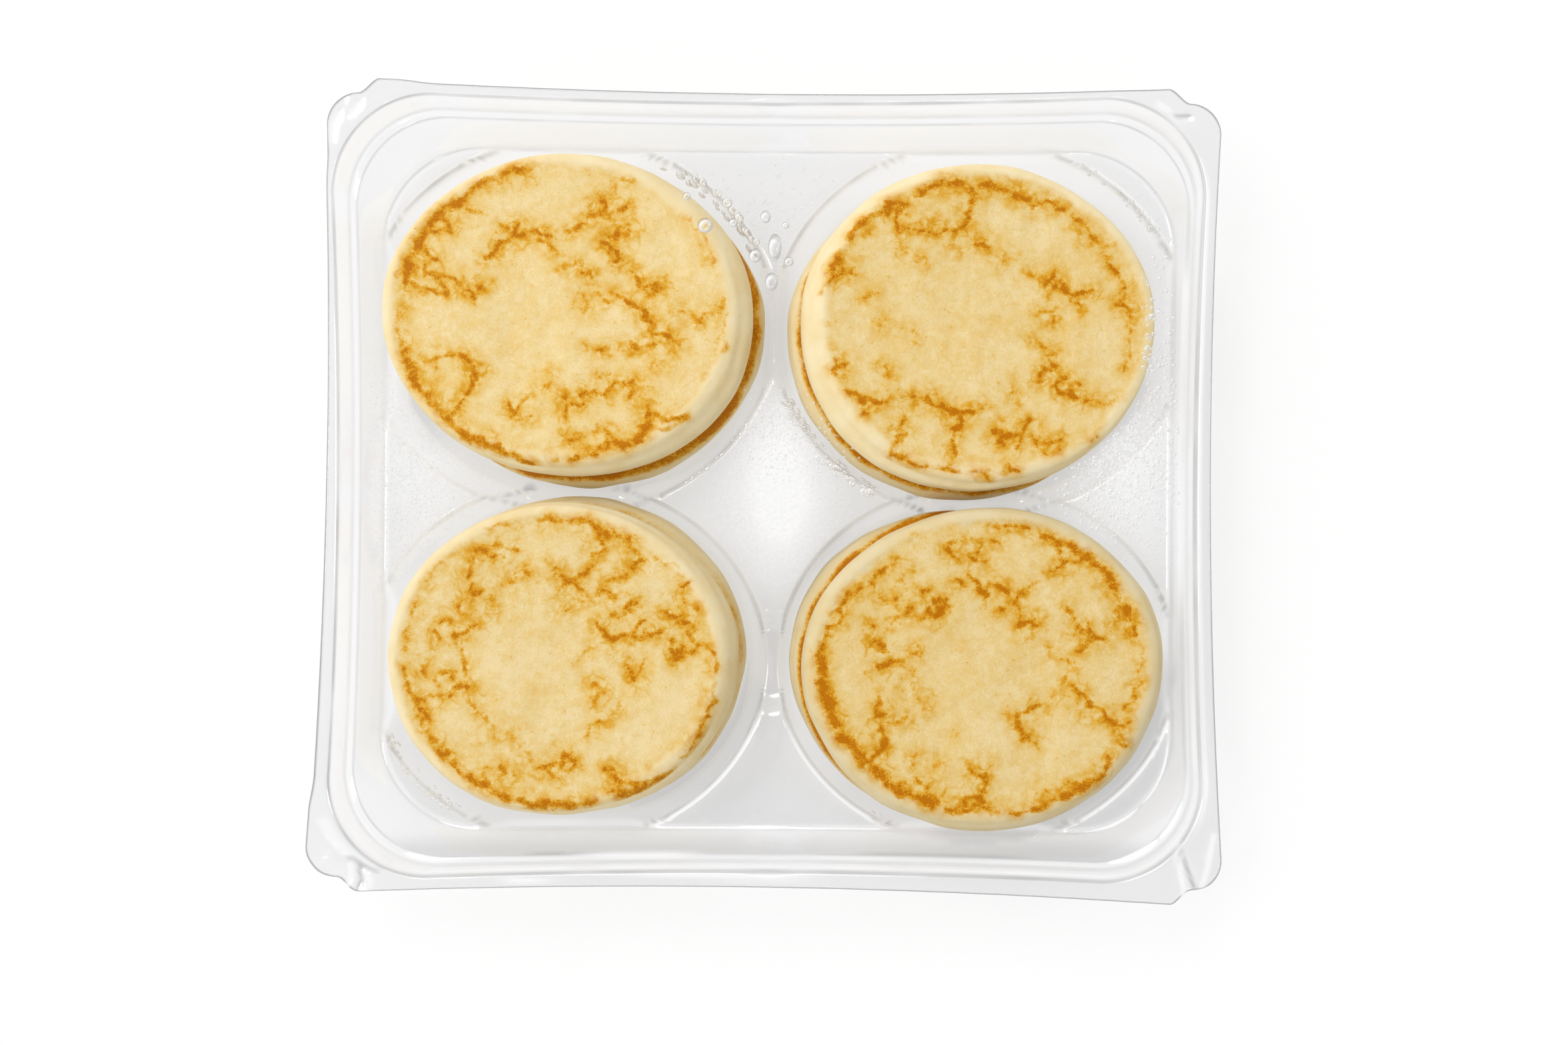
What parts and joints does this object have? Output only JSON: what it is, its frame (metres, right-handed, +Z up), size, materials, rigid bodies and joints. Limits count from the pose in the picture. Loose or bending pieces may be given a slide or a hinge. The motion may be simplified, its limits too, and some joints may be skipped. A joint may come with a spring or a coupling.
{
  "type": "blini tray pack",
  "caption": "Round griddled blini with browned lace on top, stacked in the oval wells of a clear formed tray and sealed under clear film.",
  "frame": {"origin": "on the resting surface, under the middle of the tray", "axes": "+X along the longer side of the tray, +Y along its shorter side, +Z up from the well floors to the film"},
  "size_m": [0.2238, 0.2012, 0.028],
  "materials": {
    "clear_sheet": "clear glossy formed sheet, with fine condensation inside",
    "clear_film": "thin clear glossy film, with a few water drops underneath",
    "baked_batter": "soft matte griddled batter: pale cream sides, golden face with orange-brown lace"
  },
  "bodies": {
    "root": {"tray": "clear_sheet", "lid_film": "clear_film", "blini_rear_left_lower": "baked_batter", "blini_rear_left_upper": "baked_batter", "blini_rear_right_lower": "baked_batter", "blini_rear_right_upper": "baked_batter", "blini_front_left_lower": "baked_batter", "blini_front_left_upper": "baked_batter", "blini_front_right_lower": "baked_batter", "blini_front_right_upper": "baked_batter"}
  },
  "joints": []
}
